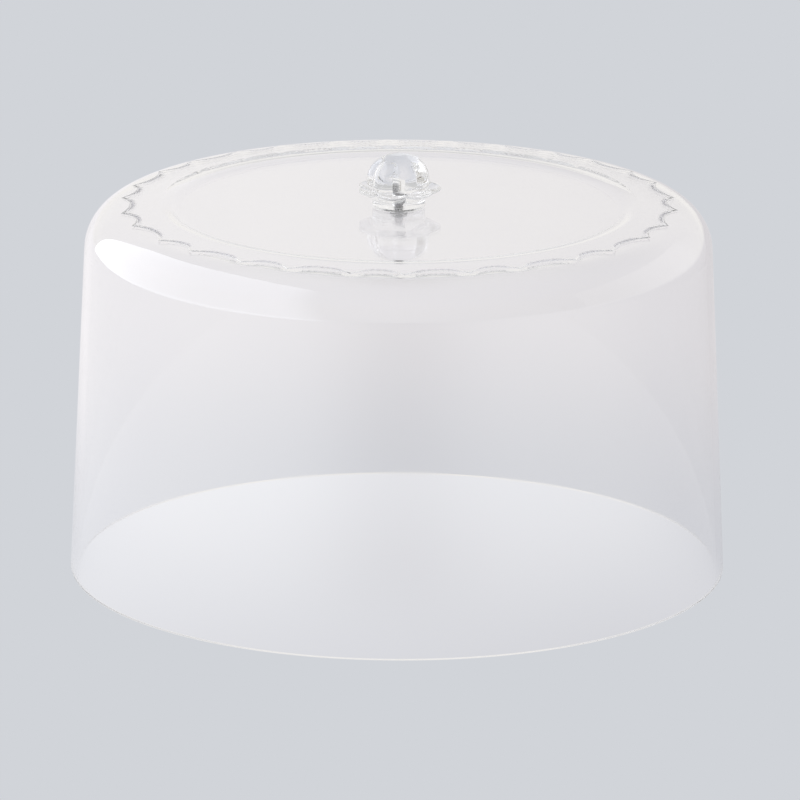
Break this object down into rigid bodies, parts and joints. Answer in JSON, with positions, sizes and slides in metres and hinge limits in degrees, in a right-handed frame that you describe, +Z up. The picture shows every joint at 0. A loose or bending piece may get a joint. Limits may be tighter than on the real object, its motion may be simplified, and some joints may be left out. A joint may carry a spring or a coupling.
{
  "type": "cake dome",
  "caption": "Clear round cake cover with a flared wall, rounded shoulder, scalloped border and a screwed-on flower-bud knob.",
  "frame": {"origin": "centre of the flat rim, on the plane that the dome stands on", "axes": "+Z up along the dome's axis of symmetry, -Y towards the front view, +X to the right"},
  "size_m": [0.3, 0.3, 0.1937],
  "materials": {
    "clear_dome": "clear, colourless moulded acrylic, polished",
    "clear_knob": "clear, colourless solid acrylic moulding, polished",
    "clear_silicone": "translucent clear silicone, satin",
    "steel": "stainless steel, fine turned finish",
    "screw_steel": "stainless steel machine screw"
  },
  "bodies": {
    "cover": {"dome": "clear_dome", "washer": "steel", "screw": "screw_steel"},
    "seal": {"seal_ring": "clear_silicone"},
    "handle": {"knob": "clear_knob"}
  },
  "joints": [
    {"name": "knob_turn", "type": "hinge", "parent": "cover", "child": "seal", "pos_m": [0, 0, 0.1685], "axis": [0, 0, 1], "range_deg": [0, 5760]},
    {"name": "knob_rise", "type": "slide", "parent": "seal", "child": "handle", "axis": [0, 0, 1], "range_m": [0, 0.0112]}
  ],
  "couplings": [
    {"joint": "knob_turn", "follows": "knob_rise", "rad_per_m": 8976}
  ]
}
